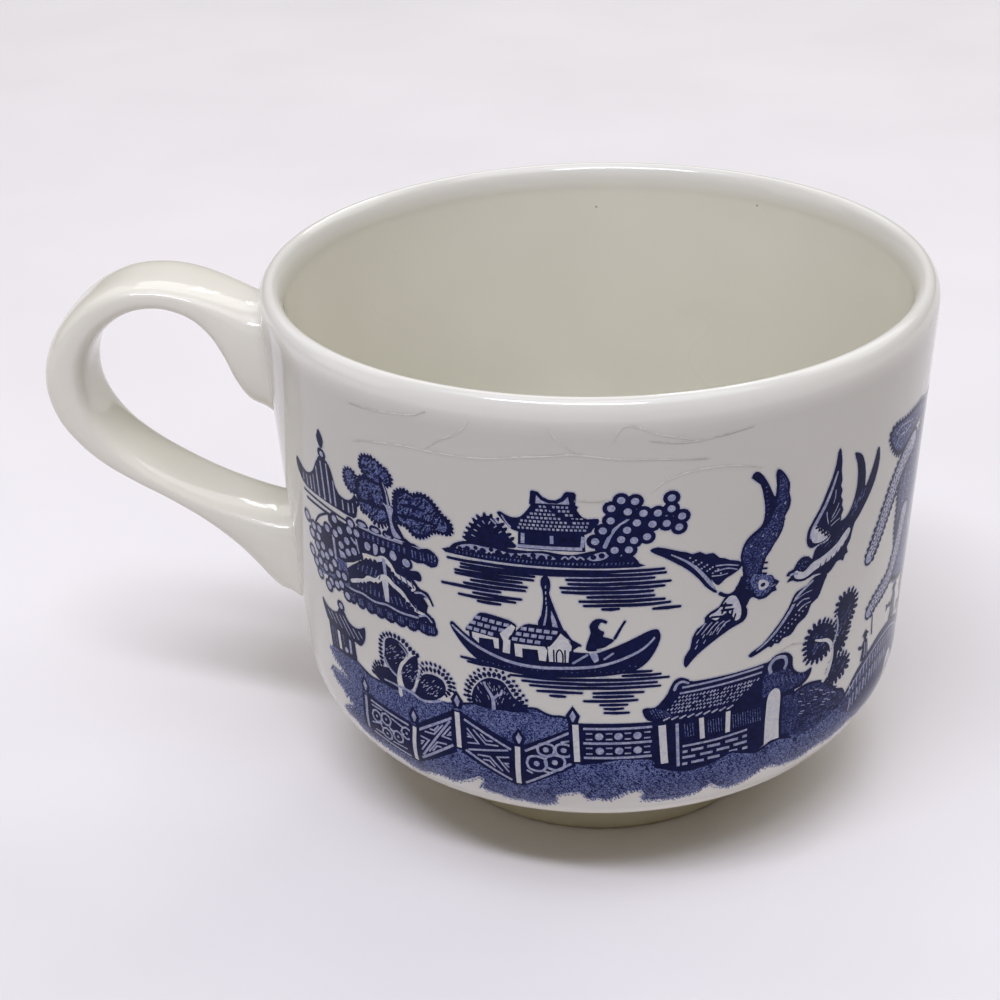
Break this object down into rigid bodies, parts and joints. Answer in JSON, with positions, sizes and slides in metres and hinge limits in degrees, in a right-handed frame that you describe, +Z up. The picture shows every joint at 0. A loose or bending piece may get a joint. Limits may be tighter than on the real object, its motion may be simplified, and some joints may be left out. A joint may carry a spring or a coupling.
{
  "type": "teacup",
  "caption": "Flat-bottomed earthenware teacup with a strap handle, a rounded lip and a foot ring, decorated all round in underglaze blue.",
  "frame": {"origin": "centre of the foot ring, on the plane the cup rests on", "axes": "+Z up along the axis of the bowl; the handle points along -X; +X is the longest extent, away from the handle"},
  "size_m": [0.115, 0.086, 0.071],
  "materials": {
    "bowl_clay": "bare fired earthenware, hidden under the glaze",
    "foot_clay": "fired earthenware, glazed on its sides and bare on its resting face",
    "handle_glazed": "glossy creamy white glaze",
    "slip": "fired slip under the glaze",
    "print_blue": "underglaze cobalt blue, glossy through the glaze",
    "outer_glaze": "glossy creamy white glaze with fine crazing",
    "inner_glaze": "glossy creamy white glaze with fine crazing"
  },
  "bodies": {
    "root": {"cup_bowl": "bowl_clay", "foot_ring": "foot_clay", "handle": "handle_glazed", "upper_slip_joint": "slip", "lower_slip_joint": "slip", "transfer_print": "print_blue", "outer_glaze": "outer_glaze", "inner_glaze": "inner_glaze"}
  },
  "joints": []
}
